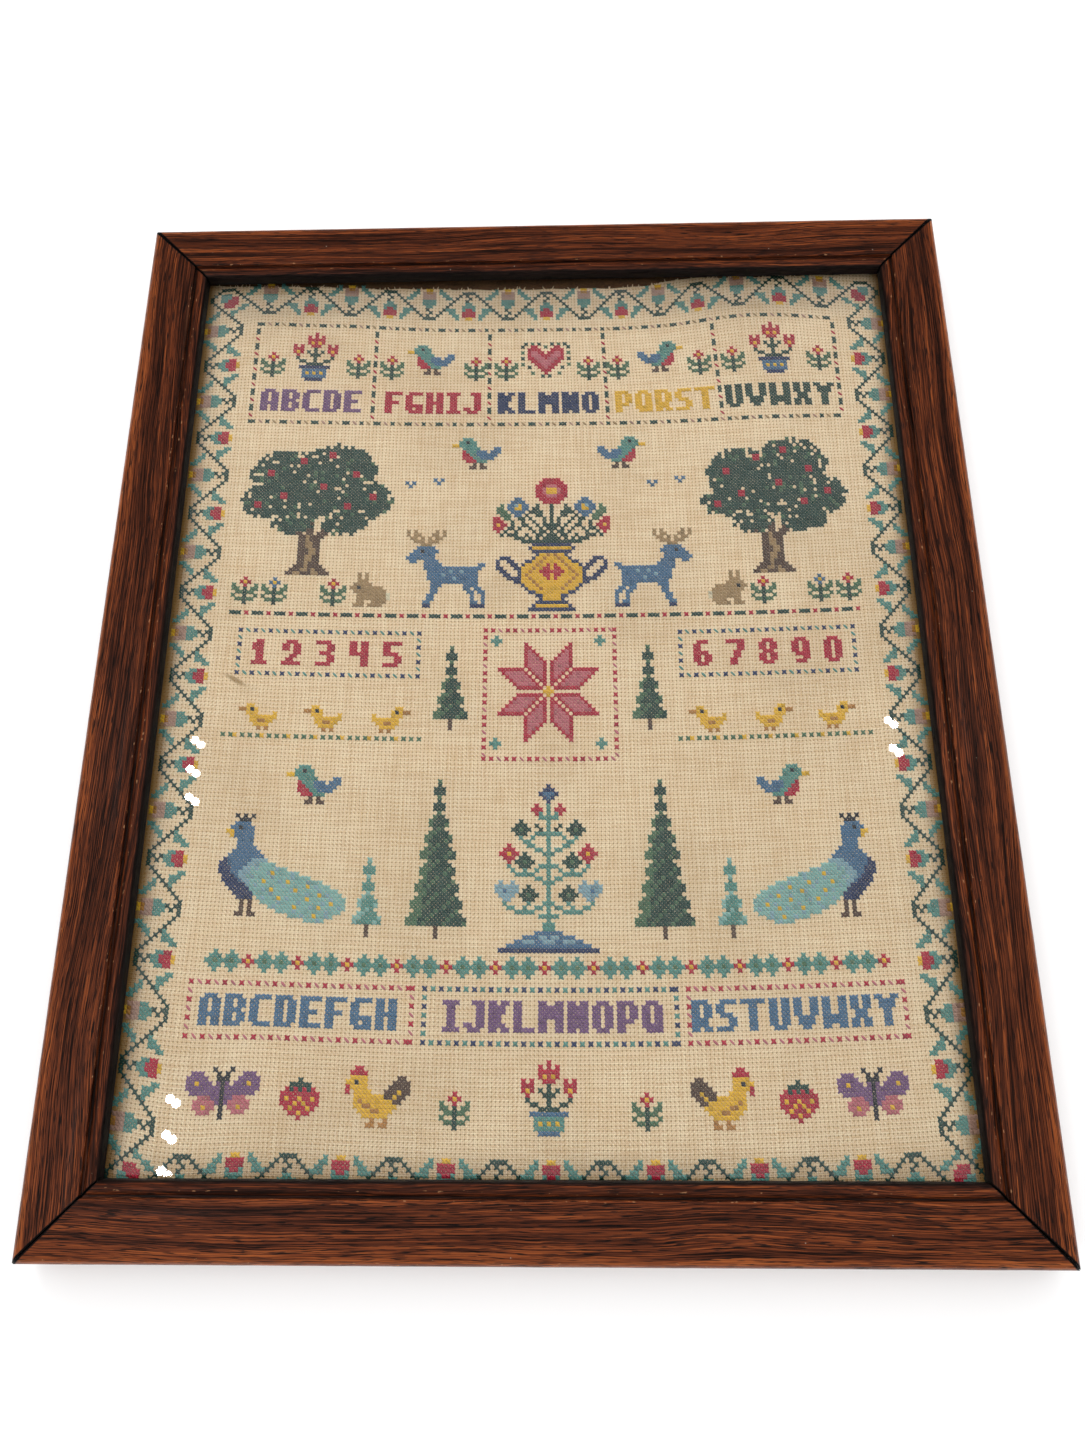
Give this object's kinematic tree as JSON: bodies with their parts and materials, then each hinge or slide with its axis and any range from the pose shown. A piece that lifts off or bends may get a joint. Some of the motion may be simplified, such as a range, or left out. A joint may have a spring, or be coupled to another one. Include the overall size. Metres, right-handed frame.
{
  "type": "framed cross stitch sampler",
  "caption": "Cross stitch sampler cloth behind glass in a mitred dark wood frame with a beaded sight edge, lying flat on its back.",
  "frame": {"origin": "middle of the frame's back, on the surface that it lies on", "axes": "+X across the picture to its right, +Y up the picture, +Z out of its face"},
  "size_m": [0.435, 0.522, 0.022],
  "materials": {
    "stained_oak": "dark red-brown stain with open grain and a worn satin polish",
    "picture_glass": "clear and flat, polished",
    "stitched_linen": "even weave linen, aged to a cream tan, worked in cross stitch",
    "pasteboard": "brown pressed wood pulp board, matt"
  },
  "bodies": {
    "root": {"rail_top": "stained_oak", "rail_left": "stained_oak", "rail_bottom": "stained_oak", "rail_right": "stained_oak", "glass_pane": "picture_glass", "linen_cloth": "stitched_linen", "backing_board": "pasteboard"}
  },
  "joints": []
}
